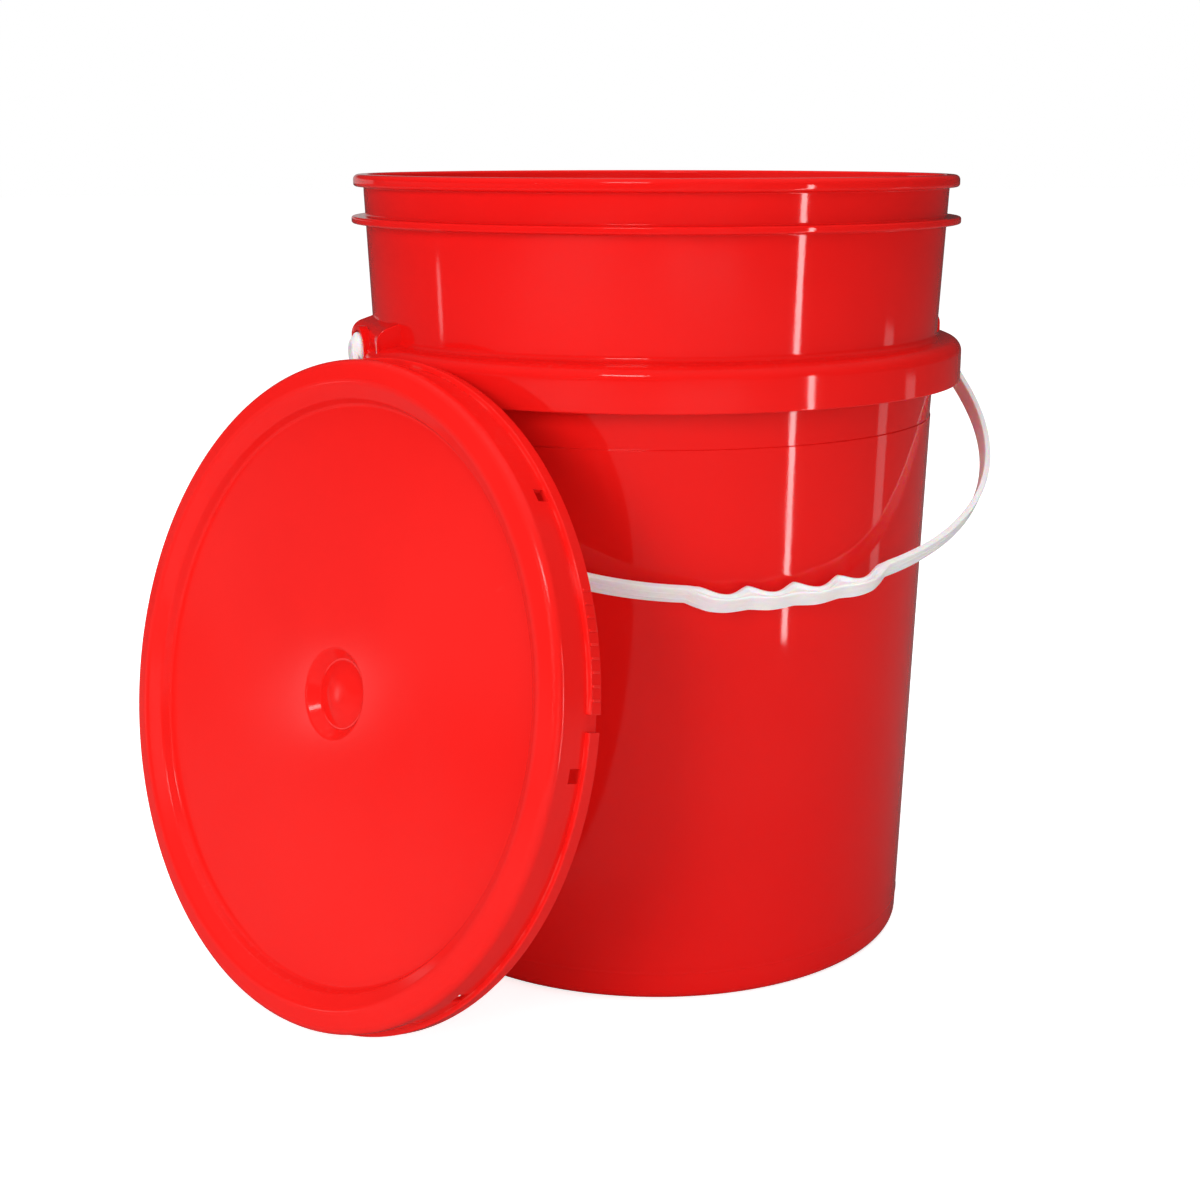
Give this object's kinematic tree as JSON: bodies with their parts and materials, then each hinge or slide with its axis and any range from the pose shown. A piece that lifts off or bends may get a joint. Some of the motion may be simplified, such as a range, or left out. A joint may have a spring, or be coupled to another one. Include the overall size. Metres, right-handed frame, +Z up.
{
  "type": "lidded utility pail",
  "caption": "Tall tapered plastic pail with a rolled rim, a stop rib and a hooded collar, a swinging bail with a finger grip, and a press-on lid leaning beside it.",
  "frame": {"origin": "centre of the pail's foot, on the floor", "axes": "+Z up along the pail's axis; X through the bail's two pivots; the bail hangs on the -Y side and the lid leans on the -X side"},
  "size_m": [0.4267, 0.3744, 0.3877],
  "materials": {
    "pail_plastic": "glossy red injection-moulded polyethylene",
    "lid_plastic": "glossy red injection-moulded polyethylene",
    "bail_plastic": "satin white moulded polyethylene",
    "gasket_foam": "matt grey extruded sealing ring"
  },
  "bodies": {
    "pail": {"pail": "pail_plastic"},
    "handle": {"bail_handle": "bail_plastic"},
    "lid": {"lid": "lid_plastic", "tear_band": "lid_plastic", "lid_gasket": "gasket_foam"}
  },
  "joints": [
    {"name": "bail_swing", "type": "hinge", "parent": "pail", "child": "handle", "pos_m": [0, 0, 0.304], "axis": [-1, 0, 0], "range_deg": [0, 249.4]},
    {"name": "lid_away", "type": "slide", "parent": "pail", "child": "lid", "axis": [-0.9092, -0.4163, 0], "range_m": [0, 0.4]}
  ],
  "couplings": [
    {"joint": "lid_away", "follows": "bail_swing", "m_per_rad": 0.09}
  ]
}
